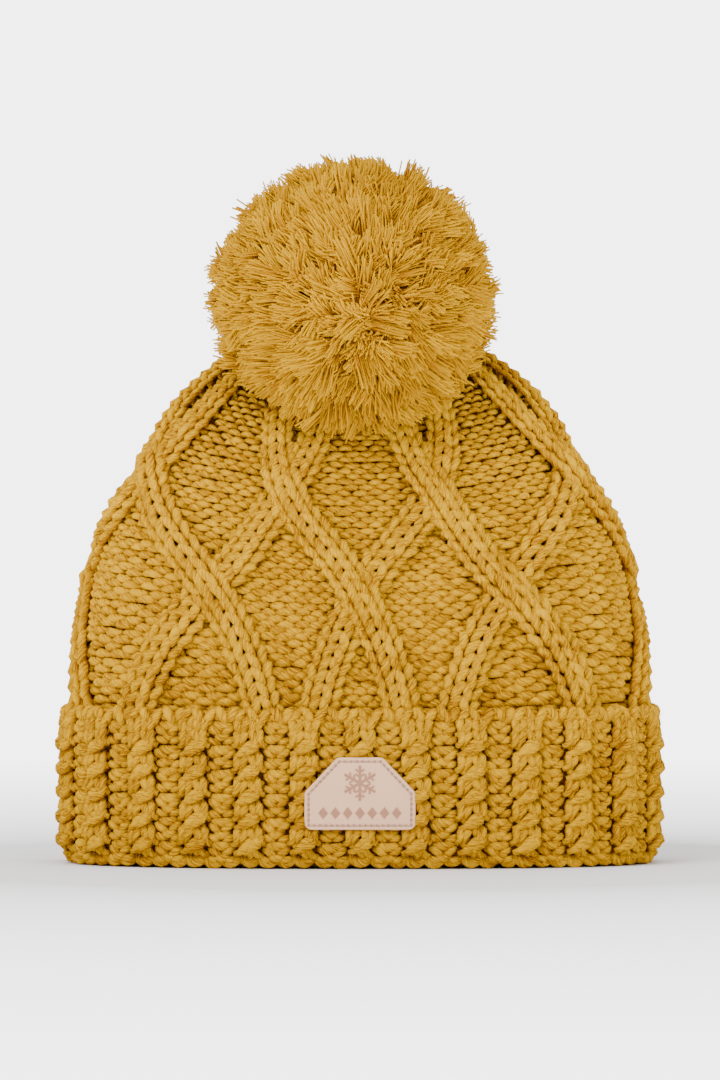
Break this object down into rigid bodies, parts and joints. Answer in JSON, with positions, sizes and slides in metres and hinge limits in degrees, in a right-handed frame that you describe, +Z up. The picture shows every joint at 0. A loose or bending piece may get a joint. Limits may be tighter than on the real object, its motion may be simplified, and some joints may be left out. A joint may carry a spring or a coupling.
{
  "type": "pom pom beanie",
  "caption": "Chunky knitted beanie with crossed cables, a turned-up ribbed brim, a leather patch and a large cut-yarn pom pom.",
  "frame": {"origin": "centre of the head opening, in the plane of the brim's lower rim", "axes": "+Z up through the crown, -Y the front with the patch, X across"},
  "size_m": [0.2451, 0.141, 0.287],
  "materials": {
    "knit": "matte",
    "yarn": "matte",
    "pom_yarn": "matte",
    "fleece": "matte",
    "fleece_thread": "matte",
    "patch_leather": "matte",
    "patch_thread": "matte",
    "label_tape": "satin"
  },
  "bodies": {
    "hat": {"crown_body": "knit", "turned_up_brim": "knit", "crown_gather_yarn": "yarn", "back_seam_yarn": "yarn", "inner_tie_knot": "yarn", "fleece_band": "fleece", "fleece_band_stitching": "fleece_thread", "leather_patch": "patch_leather", "patch_stitching": "patch_thread", "care_label_stitching": "fleece_thread"},
    "pom_neck": {"pom_tie_cord": "yarn"},
    "pom": {"pom_pom": "pom_yarn", "pom_binding": "yarn"},
    "label": {"care_label": "label_tape"}
  },
  "joints": [
    {"name": "pom_nod", "type": "hinge", "parent": "hat", "child": "pom_neck", "pos_m": [0, 0, 0.218], "axis": [1, 0, 0], "range_deg": [-25, 4], "stiffness_Nm_per_rad": 0.25},
    {"name": "pom_sway", "type": "hinge", "parent": "pom_neck", "child": "pom", "pos_m": [0, 0, 0.218], "axis": [0, 1, 0], "range_deg": [-12, 12], "stiffness_Nm_per_rad": 0.25},
    {"name": "label_flap", "type": "hinge", "parent": "hat", "child": "label", "pos_m": [0, 0.0422, 0.0575], "axis": [1, 0, 0], "range_deg": [-75, 0]}
  ]
}
